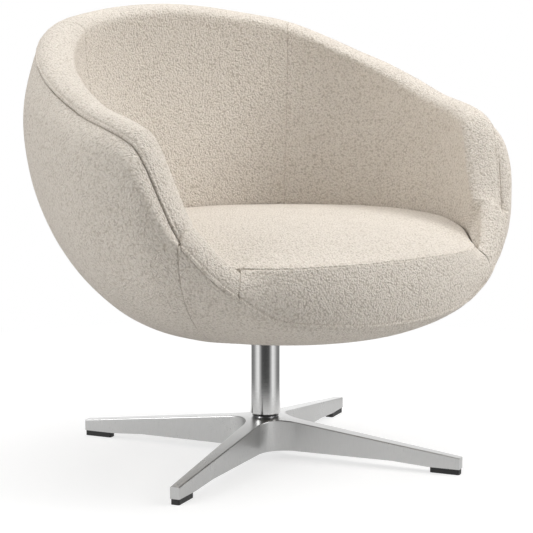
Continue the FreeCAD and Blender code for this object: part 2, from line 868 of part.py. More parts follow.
os.makedirs("parts", exist_ok=True)
side_cover, lower_front_cover = outer_covers()
save("outer_cover", side_cover)
save("front_cover", lower_front_cover)
save("tub_shell", tub_shell())
save("inner_padding", inner_padding())
back_cover, left_cover, right_cover = inner_covers()
save("inner_back_cover", back_cover)
save("inner_arm_cover_left", left_cover)
save("inner_arm_cover_right", right_cover)
save("seat_foam", seat_foam())
save("seat_top_cover", seat_top_cover())
save("seat_front_cover", seat_front_cover())
save("bottom_cover", bottom_cover())
save("seat_plate", seat_plate())
save("plate_bolts", plate_bolts())
save("plate_washers", plate_washers())
save("tee_nuts", tee_nuts())
save("column_sleeve", column_sleeve())
save("lower_bush", lower_bush())
save("upper_bush", upper_bush())
save("top_cap", top_cap())
save("thrust_race_upper", thrust_race(upper_race_bottom))
save("thrust_race_lower", thrust_race(post_top))
save("thrust_rollers", thrust_rollers())
save("roller_cage", roller_cage())
save("post", post())
save("pivot_washer", pivot_washer())
save("pivot_bolt", pivot_bolt())
save("post_washer", post_washer())
save("post_bolt", post_bolt())
save("star_base", star_base())
save("glide_screws", glide_screws())
for place_name, turn in (("right", 0), ("back", 1), ("left", 2), ("front", 3)):
    pad = glide()
    pad.rotate(V(0, 0, 0), V(0, 0, 1), leg_turn + full_turn * turn / leg_count)
    save("glide_" + place_name, pad)
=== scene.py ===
import math

import bmesh
import bpy
import numpy as np
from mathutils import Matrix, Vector, noise
from mathutils.kdtree import KDTree


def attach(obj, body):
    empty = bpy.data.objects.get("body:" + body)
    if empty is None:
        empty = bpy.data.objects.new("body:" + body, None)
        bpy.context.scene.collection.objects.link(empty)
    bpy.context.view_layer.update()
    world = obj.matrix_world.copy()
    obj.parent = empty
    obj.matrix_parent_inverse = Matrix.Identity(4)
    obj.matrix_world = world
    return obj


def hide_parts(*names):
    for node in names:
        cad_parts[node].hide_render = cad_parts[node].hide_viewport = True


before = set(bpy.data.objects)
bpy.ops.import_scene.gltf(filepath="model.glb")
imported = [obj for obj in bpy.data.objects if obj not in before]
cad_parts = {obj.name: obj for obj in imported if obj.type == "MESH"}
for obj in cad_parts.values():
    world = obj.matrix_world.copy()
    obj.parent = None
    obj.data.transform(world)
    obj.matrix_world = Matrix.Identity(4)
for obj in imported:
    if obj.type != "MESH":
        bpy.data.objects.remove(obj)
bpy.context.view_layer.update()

# Swivel armchair. The forms of the covers are worked out in millimetres from the same values as
# the solids, but for side_fullness, which the solids don't have. They are turned into metres when
# a mesh is made. Directions are in degrees round the swivel axis from the middle of the back,
# + towards +X; the seat's front faces -Y, and the axis stands axis_forward in front of the origin.

metre = 0.001
axis_forward = 20.0
half_turn = 180.0
full_turn = 360.0

# Outside form of the tub
tub_bottom_height = 220.0
tub_bottom_radius = 125.0
tub_back_radius = 386.0
tub_side_radius = 390.0
tub_front_radius = 378.0
belly_back_height = 560.0
belly_front_height = 333.0
rim_back_height = 738.0
rim_front_height = 269.0
rim_inset = 23.0
back_corner_share = 1.031
front_corner_share = 1.021

# Padded rim, padding and seat
rim_half_width = 36.0
rim_crown = 20.0
arm_end_lift = 28.0
arm_end_angle = 139.5
back_padding = 115.0
side_padding = 72.0
arm_end_padding = 40.0
padding_foot_drop = 14.0
tuck_depth = 30.0
tuck_slant = 10.0
back_seam_angle = 42.0
inside_hollow_share = 0.012
roll_pull = 0.8
foot_pull = 0.9
foot_fall = 0.2
piping_height = 366.0
front_roll_depth = 47.0
front_bulge = 9.0
seat_back_rise = 32.0
seat_crown = 44.0
crown_power = 2.6
curl_power = 6
dart_angle = 127.0
pad_back_depth = 12.0
seat_floor_height = 252.0
seat_floor_radius = 104.0
seat_corner_height = 296.0
seat_gap = 0.6
crevice_radius = 8.0
crevice_swell = 2.0
crevice_swell_reach = 24.0
arm_clearing = 7.0
seam_fade = 8.0
boxing_share = 0.4
tub_middle_height = 480.0

# Backs and undersides that no one sees
pad_foot_depth = 6.0
pad_top_drop = 8.0
pad_least_height = 12.0
pad_least_depth = 3.0
hidden_edge_run = (4.0, -18.0)
seat_corner_drop = 12.0
seat_corner_inset = 16.0
seat_corner_reach = 20.0
seat_corner_step = 4.0

# Under cloth
cloth_radius = tub_bottom_radius - 1.0
cloth_hole_radius = 26.5
cloth_top = 222.4
cloth_underside = 221.7
cloth_sag = 1.1
cloth_wave = 0.15
cloth_waves = 9

# Sewing
fabric_thickness = 3.0
groove_depth = 1.2
groove_width = 1.1
fold_depth = 0.8
ridge_height = 0.9
ridge_place = 3.2
ridge_width = 2.0
stitch_row = 6.6
stitch_valley = 0.9
stitch_valley_width = 1.1
pucker_height = 0.5
pucker_length = 15.0
pucker_reach = 20.0
pucker_start = 3.0
pucker_row = 0.3
swell_height = 1.3
swell_length = 150.0
fine_swell_share = 0.4
fine_swell_scale = 2.3
stitch_length = 4.0
stitch_pitch = 5.4
stitch_radius = 0.42
rim_seam_depth = 0.6
panel_seam_depth = 0.9
end_seam_depth = 0.7
front_seam_depth = 1.5

# Distances from a sewn edge and from the hem at which rows of a mesh lie, and the step elsewhere
edge_rows = np.array((0.0, 0.7, 1.4, 2.2, 3.1, 4.0, 5.0, 5.9, 6.6, 7.3, 8.3, 9.8, 12.0, 15.0, 19.0))
hem_rows = np.array((8.0, 4.0, 2.0, 0.0))
stitch_index = int(np.argmin(np.abs(edge_rows - stitch_row)))
coarse_step = 6.0
seam_step = 1.5
slant_step = 0.1
slant_limit = 1.9
edge_share = 0.3
angle_tolerance = 1e-6

# Points along profiles and across pieces
rim_points = 1441
outer_points = 220
inner_points = 90
tuck_points = 12
top_points = 200
boxing_points = 40
top_coarse_rows = 52
boxing_coarse_rows = 13
pad_back_rows = 12
under_rows = 7
cloth_columns = 96
cloth_rows = 20


def mix(a, b, t):
    return a + (b - a) * t


def from_back(angle):
    """Degrees between a direction and the middle of the back, on either side."""
    return np.abs((np.asarray(angle, float) + half_turn) % full_turn - half_turn)


def around(angles, values):
    """A function of direction that runs smoothly through the values, alike on both sides."""
    xs, ys = np.array(angles, float), np.array(values, float)
    steps = np.diff(xs)
    rises = np.diff(ys) / steps
    slopes = np.zeros(len(xs))
    for i in range(1, len(rises)):
        before, after = rises[i - 1], rises[i]
        if before * after > 0:
            w1 = 2 * steps[i] + steps[i - 1]
            w2 = steps[i] + 2 * steps[i - 1]
            slopes[i] = (w1 + w2) / (w1 / before + w2 / after)

    def value(angle):
        a = np.clip(from_back(angle), xs[0], xs[-1])
        i = np.clip(np.searchsorted(xs, a) - 1, 0, len(xs) - 2)
        h = steps[i]
        t = (a - xs[i]) / h
        return ((1 + 2 * t) * (1 - t) ** 2 * ys[i] + t * (1 - t) ** 2 * h * slopes[i]
                + t * t * (3 - 2 * t) * ys[i + 1] + t * t * (t - 1) * h * slopes[i + 1])

    return value


back_corner = back_corner_share * (tub_back_radius + tub_side_radius) / 2
front_corner = front_corner_share * (tub_side_radius + tub_front_radius) / 2
belly_radius = around(
    (0, 45, 90, 135, 180),
    (tub_back_radius, back_corner, tub_side_radius, front_corner, tub_front_radius))
belly_drop = around((0, 60, 115, 128, 180), (0, 0, 0.49, 0.71, 1))
fullness = around((0, 60, 115, 180), (1.9, 1.9, 2.1, 2.2))
rim_drop = around((0, 35, 65, 95, 115, 127, 138, 150, 180),
                  (0, 0.044, 0.176, 0.321, 0.404, 0.707, 0.872, 0.972, 1))
inset_share = around((0, 90, 120, 180), (1, 1, 0, 0))
side_fullness = around((0, 60, 80, 95, 108, 118, 128, 137, 180),
                       (0, 0, 4, 14, 23, 25, 9, 0, 0))
roll_angles = (0, 60, 100, 120, 130, 140, 180)
roll_width = around(roll_angles, (1, 0.86, 0.74, 0.8, 0.62, 0.38, 0.38))
roll_crown = around(roll_angles, (1, 0.85, 0.9, 1, 1, 1, 1))
roll_lift = around(roll_angles, (0, 0, 0, 0.22, 0.85, 1, 1))
padding_angles = (0, 35, 65, 90, 108, 122, 131, 140, 180)
padding_back = around(padding_angles, (1, 0.84, 0.4, 0, 0, 0, 0, 0, 0))
padding_end = around(padding_angles, (0, 0, 0, 0, 0.28, 0.5, 0.64, 1, 1))
seat_rise = around((0, 90, 108, 122, 131, 140, 180), (1, 1, 0.9, 0.6, 0.25, 0, 0))
seat_front = around((140, 148, 162, 180), (0, -0.7, 0.3, 1))


def belly_height(a):
    return mix(belly_back_height, belly_front_height, belly_drop(a))


def rim_height(a):
    return mix(rim_back_height, rim_front_height, rim_drop(a))


def wall_radius(a, z):
    """Outside surface of the tub: radius in direction a at height z."""
    fuller = side_fullness(a)
    widest, middle = belly_radius(a) + fuller, belly_height(a)
    power = fullness(a)
    down = np.clip((middle - z) / (middle - tub_bottom_height), 0, 1)
    below = mix(tub_bottom_radius, widest, (1 - down ** power) ** (1 / power))
    over = np.maximum(rim_height(a) - middle, 1e-6)
    up = np.clip((z - middle) / over, 0, 1)
    inset = rim_inset * inset_share(a) * up ** 2 + fuller * up ** curl_power
    return np.where(z < middle, below, widest - inset)


def seat_edge_height(a):
    """Height of the line where the seat's top ends."""
    return piping_height + seat_back_rise * seat_rise(a)


def seat_edge_radius(a):
    """Radius of the line where the seat's top ends: the wall less the padding in front of it."""
    padding = side_padding + (back_padding - side_padding) * padding_back(a)
    padding = padding + (arm_end_padding - side_padding) * padding_end(a)
    padding = padding + (front_roll_depth - arm_end_padding) * seat_front(a)
    return wall_radius(a, seat_edge_height(a)) - side_fullness(a) - padding


def place(a, r, z):
    """Points in millimetres from direction, radius and height."""
    t = np.radians(a)
    return np.stack(np.broadcast_arrays(r * np.sin(t), r * np.cos(t), z), -1)


def rim_point(a):
    z = rim_height(a)
    return place(a, wall_radius(a, z), z)


def slant(a):
    """How much longer a step down the wall is than its distance from the sloping rim seam."""
    ahead, behind = rim_point(a + slant_step), rim_point(a - slant_step)
    run = np.linalg.norm(ahead - behind)
    level = np.linalg.norm((ahead - behind)[:2])
    return run / level


# Profiles: lists of (radius, height) points that are close enough together to be read along

def outer_curve(a):
    """Down the outside of the tub from the rim seam to the hem."""
    span = rim_height(a) - tub_bottom_height
    turn = np.linspace(math.pi / 2, 0, outer_points)
    z = tub_bottom_height + span * (1 - np.cos(turn))
    return np.stack([wall_radius(a, z), z], -1)


def hermite(p0, t0, p1, t1, count):
    """Points of a curve from p0 to p1 that leaves and arrives along t0 and t1."""
    t = np.linspace(0, 1, count)[:, None]
    return ((2 * t ** 3 - 3 * t * t + 1) * p0 + (t ** 3 - 2 * t * t + t) * t0
            + (3 * t * t - 2 * t ** 3) * p1 + (t ** 3 - t * t) * t1)


def crease_point(a):
    """Foot of the shown inside, where it meets the seat."""
    lift = arm_end_lift * roll_lift(a)
    z = np.minimum(seat_edge_height(a), rim_height(a) + lift - padding_foot_drop)
    return np.array([seat_edge_radius(a), z])


def inner_curve(a):
    """From the rim seam over the roll and down the inside to behind the seat."""
    seam_z = rim_height(a)
    seam_r = wall_radius(a, seam_z)
    half = rim_half_width * roll_width(a)
    crown = rim_crown * roll_crown(a)
    lift = arm_end_lift * roll_lift(a)
    turn = np.linspace(0, math.pi, inner_points)
    roll = np.stack([seam_r - half * (1 - np.cos(turn)),
                     seam_z + crown * np.sin(turn) + lift * (1 - np.cos(turn)) / 2], -1)
    top, foot = roll[-1], crease_point(a)
    reach = np.linalg.norm(foot - top)
    down = foot - top
    inside = hermite(top, np.array([0.0, -roll_pull * reach]),
                     foot, down * foot_pull + [0, -foot_fall * reach], inner_points)
    inside[:, 0] += inside_hollow_share * reach * np.sin(turn)
    tuck = foot + np.linspace(0, 1, tuck_points)[1:, None] * np.array([tuck_slant, -tuck_depth])
    return np.concatenate([roll, inside[1:], tuck])


def along(curve, where):
    """Points of a curve at lengths along it."""
    steps = np.linalg.norm(np.diff(curve, axis=0), axis=1)
    s = np.concatenate([[0], np.cumsum(steps)])
    return np.stack([np.interp(where, s, curve[:, k]) for k in range(curve.shape[1])], -1)


def length_of(curve):
    return np.linalg.norm(np.diff(curve, axis=0), axis=1).sum()


def directions(start, end):
    """Directions from start to end, close together near the seams at both."""
    degrees_per_mm = math.degrees(1 / tub_side_radius)
    low = start + edge_rows * degrees_per_mm
    high = end - edge_rows[::-1] * degrees_per_mm
    count = max(2, round((high[0] - low[-1]) / (coarse_step * degrees_per_mm)))
    return np.concatenate([low, np.linspace(low[-1], high[0], count + 1)[1:-1], high])


# Meshes

def mesh_object(name, points, faces):
    """A smooth object in the scene from points in millimetres round the swivel axis."""
    mesh = bpy.data.meshes.new(name)
    moved = (np.asarray(points) - (0.0, axis_forward, 0.0)) * metre
    mesh.from_pydata([tuple(p) for p in moved], [], faces)
    mesh.update()
    mesh.polygons.foreach_set("use_smooth", [True] * len(mesh.polygons))
    obj = bpy.data.objects.new(name, mesh)
    bpy.context.scene.collection.objects.link(obj)
    return obj


def grid_faces(columns, rows, wrap_columns=False, wrap_rows=False):
    """Four-sided faces between the points of a grid, which may close on itself."""
    faces = []
    for i in range(columns if wrap_columns else columns - 1):
        j = (i + 1) % columns
        for k in range(rows if wrap_rows else rows - 1):
            m = (k + 1) % rows
            faces.append((i * rows + k, i * rows + m, j * rows + m, j * rows + k))
    return faces


def grid_normals(grid, wrap=False):
    """Unit normals of a grid of points, from its neighbours."""
    if wrap:
        du = np.roll(grid, -1, 0) - np.roll(grid, 1, 0)
    else:
        du = np.gradient(grid, axis=0)
    dv = np.gradient(grid, axis=1)
    n = np.cross(du, dv)
    return n / np.maximum(np.linalg.norm(n, axis=-1, keepdims=True), 1e-9)


class Seam:
    """A sewn line: how far points lie from it and where along it."""

    def __init__(self, points, depth):
        count = int(length_of(points) / seam_step)
        self.points = along(points, np.linspace(0, length_of(points), count))
        self.step = length_of(points) / count
        self.depth = depth
        self.tree = KDTree(len(self.points))
        for i, point in enumerate(self.points):
            self.tree.insert(point, i)
        self.tree.balance()

    def relief(self, grid, stitched):
        """Height to add along the normal at each point of a grid."""
        found = [self.tree.find(p) for p in grid.reshape(-1, 3)]
        distance = np.array([f[2] for f in found])
        where = np.array([f[1] for f in found]) * self.step
        height = -groove_depth * self.depth * np.exp(-(distance / groove_width) ** 2)
        if stitched:
            height += ridge_height * np.exp(-((distance - ridge_place) / ridge_width) ** 2)
            height -= stitch_valley * np.exp(
                -((distance - stitch_row) / stitch_valley_width) ** 2)
        wave = np.array([noise.noise(Vector((w / pucker_length, self.depth, pucker_row)))
                         for w in where])
        near = np.exp(-distance / pucker_reach) * (1 - np.exp(-distance / pucker_start))
        height += 2 * pucker_height * wave * near
        return height.reshape(grid.shape[:2])


def swell(grid):
    """Slow unevenness of padding under a cover."""
    flat = grid.reshape(-1, 3) / swell_length
    values = [noise.noise(Vector(p))
              + fine_swell_share * noise.noise(Vector(p * fine_swell_scale)) for p in flat]
    return swell_height * np.array(values).reshape(grid.shape[:2])


def relieved(grid, seams, outward):
    """A grid moved along its outward normals by the relief of its seams and its slow swell."""
    normals = grid_normals(grid)
    side = np.sign(np.mean(np.sum(normals * outward(grid), -1)))
    normals = normals * side
    height = swell(grid)
    for seam, stitched in seams:
        height = height + seam.relief(grid, stitched)
    return grid + normals * height[..., None], normals


def from_axis(grid):
    """Directions away from the middle of the tub."""
    out = grid - np.array([0.0, 0.0, tub_middle_height])
    return out / np.linalg.norm(out, axis=-1, keepdims=True)


def towards_axis(grid):
    """Directions towards the middle of the tub."""
    return -from_axis(grid)


def fold_in(grid, normals):
    """Turns the three sewn edges of a panel inwards."""
    grid[:, 0] -= normals[:, 0] * fold_depth
    grid[0] -= normals[0] * fold_depth
    grid[-1] -= normals[-1] * fold_depth


def thin_panel(name, grid, normals):
    """A closed cover: the shown grid, the same grid moved inwards, and its edges."""
    columns, rows = grid.shape[:2]
    under = grid - normals * fabric_thickness
    points = np.concatenate([grid.reshape(-1, 3), under.reshape(-1, 3)])
    total = columns * rows
    faces = grid_faces(columns, rows)
    faces += [tuple(total + i for i in f[::-1]) for f in faces]
    loop = ([i * rows for i in range(columns)]
            + [(columns - 1) * rows + k for k in range(1, rows)]
            + [i * rows + rows - 1 for i in range(columns - 2, -1, -1)]
            + [k for k in range(rows - 2, 0, -1)])
    for a, b in zip(loop, loop[1:] + loop[:1]):
        faces.append((a, b, total + b, total + a))
    obj = mesh_object(name, points, faces)
    tidy_normals(obj)
    return obj


def closed_pad(name, grid, backs):
    """A closed pad: the shown grid, and a back run of points in each direction behind it."""
    columns = len(grid)
    loops = np.concatenate([grid, backs], axis=1)
    rows = loops.shape[1]
    points = loops.reshape(-1, 3)
    faces = grid_faces(columns, rows, wrap_rows=True)
    faces.append(tuple(range(rows)))
    faces.append(tuple((columns - 1) * rows + k for k in range(rows - 1, -1, -1)))
    obj = mesh_object(name, points, faces)
    tidy_normals(obj)
    return obj


def tidy_normals(obj):
    """Makes the faces of a closed mesh face outwards."""
    work = bmesh.new()
    work.from_mesh(obj.data)
    bmesh.ops.recalc_face_normals(work, faces=work.faces)
    work.to_mesh(obj.data)
    work.free()


# Seams that several panels share

def profile_seam(a, profile, depth):
    """The seam that follows a profile in direction a."""
    curve = profile(a)
    return Seam(place(a, curve[:, 0], curve[:, 1]), depth)


rim_directions = np.linspace(-half_turn, half_turn, rim_points)
rim_seam = Seam(np.array([rim_point(a) for a in rim_directions]), rim_seam_depth)
dart_line = {side: profile_seam(side * dart_angle, outer_curve, panel_seam_depth)
             for side in (-1, 1)}
back_line = {side: profile_seam(side * back_seam_angle, inner_curve, panel_seam_depth)
             for side in (-1, 1)}
end_line = {side: profile_seam(side * arm_end_angle, inner_curve, end_seam_depth)
            for side in (-1, 1)}


# Outer covers

def outer_panel(name, start, end):
    """A cover on the outside of the tub, from the rim seam to the hem."""
    longest = max(length_of(outer_curve(a)) for a in (start, end, (start + end) / 2))
    count = round((longest - edge_rows[-1] * slant(start)) / coarse_step)
    columns = []
    for a in directions(start, end):
        curve = outer_curve(a)
        near = edge_rows * slant(a)
        hem = length_of(curve) - hem_rows
        where = np.concatenate([near, np.linspace(near[-1], hem[0], count)[1:-1], hem])
        p = along(curve, where)
        columns.append(place(a, p[:, 0], p[:, 1]))
    seams = [(rim_seam, False), (dart_line[-1], False), (dart_line[1], False)]
    grid, normals = relieved(np.array(columns), seams, from_axis)
    fold_in(grid, normals)
    return thin_panel(name, grid, normals)


side_panel = outer_panel("outer_cover_panel", -dart_angle, dart_angle)
front_panel = outer_panel("front_cover_panel", dart_angle, full_turn - dart_angle)


# Padded inside of the back and the arms

stitch_paths = []


def inner_pad(name, start, end, seams):
    """A rolled and padded piece, from the rim seam over the roll to behind the seat."""
    grid, backs = [], []
    longest = max(length_of(inner_curve(a)) for a in (start, end, (start + end) / 2))
    count = round(longest / coarse_step)
    for a in directions(start, end):
        curve = inner_curve(a)
        total = length_of(curve)
        near = edge_rows * min(slant(a), slant_limit)
        if near[-1] > edge_share * total:
            near = near * edge_share * total / near[-1]
        where = np.concatenate([near, np.linspace(near[-1], total, count)[1:]])
        p = along(curve, where)
        grid.append(place(a, p[:, 0], p[:, 1]))
        low = float(crease_point(a)[1]) - tuck_depth - pad_foot_depth
        high = float(rim_height(a)) - pad_top_drop
        z = np.linspace(min(low, high - pad_least_height), high, pad_back_rows)
        r = np.array([float(wall_radius(a, h)) for h in z]) - pad_back_depth
        backs.append(place(a, np.maximum(r, p[-1, 0] + pad_least_depth), z))
    grid, normals = relieved(np.array(grid), seams, towards_axis)
    stitch_paths.append((grid[:, stitch_index].copy(), normals[:, stitch_index].copy()))
    fold_in(grid, normals)
    return closed_pad(name, grid, np.array(backs))


back_pad = inner_pad("back_pad", -back_seam_angle, back_seam_angle,
                     [(rim_seam, True), (back_line[-1], False), (back_line[1], False)])
arm_pads = {
    1: inner_pad("arm_pad_right", back_seam_angle, arm_end_angle,
                 [(rim_seam, True), (back_line[1], False), (end_line[1], False)]),
    -1: inner_pad("arm_pad_left", -arm_end_angle, -back_seam_angle,
                  [(rim_seam, True), (back_line[-1], False), (end_line[-1], False)]),
}


# Seat cushion: one closed form with a crowned top, a front boxing and a body under it

front_directions = np.linspace(arm_end_angle, full_turn - arm_end_angle, 400)
front_seam = Seam(np.array([place(a, seat_edge_radius(a) - seat_gap, piping_height)
                            for a in front_directions]), front_seam_depth)


def boxing_curve(a):
    """From the front seam down the boxing to the rim seam."""
    low = np.array([wall_radius(a, rim_height(a)), rim_height(a)])
    high = np.array([seat_edge_radius(a) - seat_gap, piping_height])
    t = np.linspace(0, 1, boxing_points)
    curve = high + (low - high) * t[:, None]
    curve[:, 0] += front_bulge * np.sin(math.pi * t)
    return curve


def top_curve(a):
    """From the middle of the seat out to its edge."""
    edge_r = seat_edge_radius(a) - seat_gap
    edge_z = seat_edge_height(a)
    top_z = piping_height + seat_crown
    share = np.linspace(0, 1, top_points)
    z = edge_z + (top_z - edge_z) * (1 - share ** crown_power)
    return np.stack([share * edge_r, z], -1)


def open_share(a):
    """1 where the seat ends in the front seam, 0 where it runs down behind the arms and back."""
    t = np.clip((from_back(a) - (arm_end_angle - arm_clearing)) / arm_clearing, 0, 1)
    return t * t * (3 - 2 * t)


def top_rows(a):
    """Points from near the middle of the top to its edge, rounded where it meets the inside."""
    top = top_curve(a)
    total = length_of(top)
    coarse = np.linspace(0, total - edge_rows[-1], top_coarse_rows)[1:-1]
    where = np.concatenate([coarse, total - edge_rows[::-1]])
    p = along(top, where)
    left = total - where
    u = np.clip(1 - left / crevice_radius, 0, 1)
    p[:, 1] += (1 - open_share(a)) * (crevice_swell * np.exp(-left / crevice_swell_reach)
                                      - crevice_radius * (1 - np.sqrt(1 - u * u)))
    return p


def boxing_rows(a):
    """Points down the boxing, close together near the seams over and under it."""
    box = boxing_curve(a)
    height = length_of(box)
    near = edge_rows * min(1.0, boxing_share * height / edge_rows[-1])
    far = height - near[::-1]
    middle = np.linspace(near[-1], far[0], boxing_coarse_rows)[1:-1]
    return along(box, np.concatenate([near, middle, far]))


def tucked_rows(edge):
    """As many points as boxing_rows, from the seat's edge down behind the arms and the back."""
    corner = edge + [tuck_slant, -tuck_depth]
    line = np.array([edge, corner, corner + hidden_edge_run])
    count = len(edge_rows) + boxing_coarse_rows - 1
    rest = np.linspace(edge_rows[-1], length_of(line), count)[1:]
    return along(line, np.concatenate([edge_rows, rest]))


def under_line(a, edge):
    """From under the side's last point in to the floor of the tub."""
    r = math.hypot(edge[0], edge[1])
    corner_z = min(seat_corner_height, float(rim_height(a)) - seat_corner_drop)
    corner_r = min(float(wall_radius(a, corner_z)) - seat_corner_inset, r + seat_corner_reach)
    corner = np.array([corner_r, min(corner_z, edge[2] - seat_corner_step)])
    floor_edge = np.array([seat_floor_radius, seat_floor_height])
    p = np.array([mix(corner, floor_edge, t) for t in np.linspace(0, 1, under_rows)])
    return place(a, p[:, 0], p[:, 1])


def build_seat():
    """The cushion: top, boxing or hidden side, and underside, closed in the middle."""
    behind = directions(-arm_end_angle, arm_end_angle)
    front = directions(arm_end_angle, full_turn - arm_end_angle)[1:-1]
    angles = np.concatenate([behind, front])
    at = from_back(angles)
    in_front = at >= arm_end_angle - angle_tolerance
    tops, sides = [], []
    for a, open_here in zip(angles, in_front):
        p = top_rows(a)
        side = boxing_rows(a) if open_here else tucked_rows(p[-1])
        tops.append(place(a, p[:, 0], p[:, 1]))
        sides.append(place(a, side[:, 0], side[:, 1]))
    tops, sides = np.array(tops), np.array(sides)

    top_normals = grid_normals(tops, wrap=True)
    top_normals *= np.sign(np.mean(top_normals[..., 2]))
    side_normals = grid_normals(sides, wrap=True)
    outward = sides * [1, 1, 0]
    side_normals *= np.sign(np.mean(np.sum(side_normals * outward, -1)))
    near_front = np.clip((at - (arm_end_angle - seam_fade)) / seam_fade, 0, 1)[:, None]
    top_height = swell(tops) + front_seam.relief(tops, True) * near_front
    side_height = swell(sides) * in_front[:, None]
    boxing = sides[in_front]
    side_height[in_front] += front_seam.relief(boxing, False) + rim_seam.relief(boxing, True)
    side_height[in_front] += end_line[1].relief(boxing, False) + end_line[-1].relief(boxing, False)
    tops = tops + top_normals * top_height[..., None]
    sides = sides + side_normals * side_height[..., None]
    for grid, normals in ((tops, top_normals), (sides, side_normals)):
        row = -1 - stitch_index
        stitch_paths.append((grid[in_front, row].copy(), normals[in_front, row].copy()))

    # the front seam's own line, sunk between the two covers
    bisector = top_normals[:, -1] + side_normals[:, 0]
    bisector /= np.linalg.norm(bisector, axis=-1, keepdims=True)
    tops[:, -1] -= bisector * fold_depth * in_front[:, None]
    sides[:, -1] -= side_normals[:, -1] * fold_depth * in_front[:, None]
    under = np.array([under_line(a, side[-1]) for a, side in zip(angles, sides)])
    loops = np.concatenate([tops, sides[:, 1:], under], axis=1)
    columns, rows = loops.shape[:2]
    centre_top = np.array([[0, 0, piping_height + seat_crown + swell(tops[:1, :1])[0, 0]]])
    centre_bottom = np.array([[0, 0, seat_floor_height]])
    points = np.concatenate([loops.reshape(-1, 3), centre_top, centre_bottom])
    faces = grid_faces(columns, rows, wrap_columns=True)
    top_index, bottom_index = columns * rows, columns * rows + 1
    for i in range(columns):
        j = (i + 1) % columns
        faces.append((i * rows, j * rows, top_index))
        faces.append((j * rows + rows - 1, i * rows + rows - 1, bottom_index))
    obj = mesh_object("seat_cushion", points, faces)
    tidy_normals(obj)
    return obj


seat = build_seat()


# Stitches

def stitches(name, paths):
    """Short threads laid along the stitch rows, sunk a little into the cover."""
    # places along a stitch, from -1 to 1, and the share of its radius there
    rings = ((-1.0, 0.0), (-0.86, 0.75), (-0.5, 1.0), (0.5, 1.0), (0.86, 0.75), (1.0, 0.0))
    sides = 6
    points, faces = [], []
    for line, normals in paths:
        total = length_of(line)
        lengths = np.linalg.norm(np.diff(line, axis=0), axis=1)
        steps = np.concatenate([[0], np.cumsum(lengths)])
        count = int(total / stitch_pitch)
        for k in range(1, count):
            middle = (k + 0.5) * total / count
            ends = np.array([middle - stitch_length / 2, middle + stitch_length / 2])
            a, b = (np.array([np.interp(e, steps, line[:, c]) for c in range(3)]) for e in ends)
            n = np.array([np.interp(middle, steps, normals[:, c]) for c in range(3)])
            along_it = (b - a) / np.linalg.norm(b - a)
            n = n - along_it * n.dot(along_it)
            n /= np.linalg.norm(n)
            across = np.cross(along_it, n)
            centre = (a + b) / 2 + n * stitch_radius * 0.35
            first = len(points)
            for at, size in rings:
                sink = -0.9 * stitch_radius * at * at
                core = centre + along_it * at * stitch_length / 2 + n * sink
                if size == 0:
                    points.append(core)
                    continue
                for s in range(sides):
                    t = 2 * math.pi * s / sides
                    out = across * math.cos(t) + n * math.sin(t)
                    points.append(core + out * stitch_radius * size)
            last = len(points) - 1
            for s in range(sides):
                m = (s + 1) % sides
                faces.append((first, first + 1 + m, first + 1 + s))
                for ring in range(len(rings) - 3):
                    low = first + 1 + ring * sides
                    faces.append((low + s, low + m, low + sides + m, low + sides + s))
                faces.append((last, last - sides + s, last - sides + m))
    return mesh_object(name, points, faces)


threads = stitches("seam_stitches", stitch_paths)


# Under cloth round the column

def under_cloth():
    """A thin ring of felt that sags a little between the hem and the column."""
    radii = np.linspace(cloth_radius, cloth_hole_radius, cloth_rows)
    top, low = [], []
    for a in np.linspace(0, full_turn, cloth_columns + 1)[:-1]:
        sag = (cloth_sag * np.sin(np.linspace(0, math.pi, cloth_rows))
               + cloth_wave * np.sin(np.radians(a * cloth_waves)))
        top.append(place(a, radii, cloth_top - sag))
        low.append(place(a, radii, cloth_underside - sag))
    loops = np.concatenate([np.array(top), np.array(low)[:, ::-1]], axis=1)
    faces = grid_faces(cloth_columns, 2 * cloth_rows, wrap_columns=True, wrap_rows=True)
    return mesh_object("under_cloth", loops.reshape(-1, 3), faces)


cloth = under_cloth()
tidy_normals(cloth)


# Materials

def new_material(name):
    """A material with one shader, its node tree and the shader."""
    material = bpy.data.materials.new(name)
    material.use_nodes = True
    tree = material.node_tree
    tree.nodes.clear()
    output = tree.nodes.new("ShaderNodeOutputMaterial")
    shader = tree.nodes.new("ShaderNodeBsdfPrincipled")
    tree.links.new(shader.outputs[0], output.inputs[0])
    return material, tree, shader


def add(tree, kind, **values):
    """A node with its settings and inputs set by name."""
    node = tree.nodes.new(kind)
    for key, value in values.items():
        if hasattr(node, key):
            setattr(node, key, value)
        else:
            node.inputs[key.replace("_", " ")].default_value = value
    return node


def texture(tree, kind, source, **values):
    """A texture node read at the points of source."""
    node = add(tree, kind, **values)
    tree.links.new(source, node.inputs["Vector"])
    return node


def object_place(tree, scale=(1.0, 1.0, 1.0)):
    """Places on the object, in metres times scale."""
    coordinates = tree.nodes.new("ShaderNodeTexCoord")
    mapping = tree.nodes.new("ShaderNodeMapping")
    mapping.inputs["Scale"].default_value = scale
    tree.links.new(coordinates.outputs["Object"], mapping.inputs["Vector"])
    return mapping.outputs[0]


def ramp(tree, source, stops):
    """Colours that run from stop to stop as source grows."""
    node = tree.nodes.new("ShaderNodeValToRGB")
    elements = node.color_ramp.elements
    elements[0].position, elements[0].color = stops[0]
    elements[1].position, elements[1].color = stops[-1]
    for position, colour in stops[1:-1]:
        element = elements.new(position)
        element.color = colour
    tree.links.new(source, node.inputs[0])
    return node.outputs[0]


def spread(tree, source, low, high, to_low, to_high):
    """Source taken from the range low to high to another range."""
    node = tree.nodes.new("ShaderNodeMapRange")
    for key, value in (("From Min", low), ("From Max", high),
                       ("To Min", to_low), ("To Max", to_high)):
        node.inputs[key].default_value = value
    tree.links.new(source, node.inputs["Value"])
    return node.outputs["Result"]


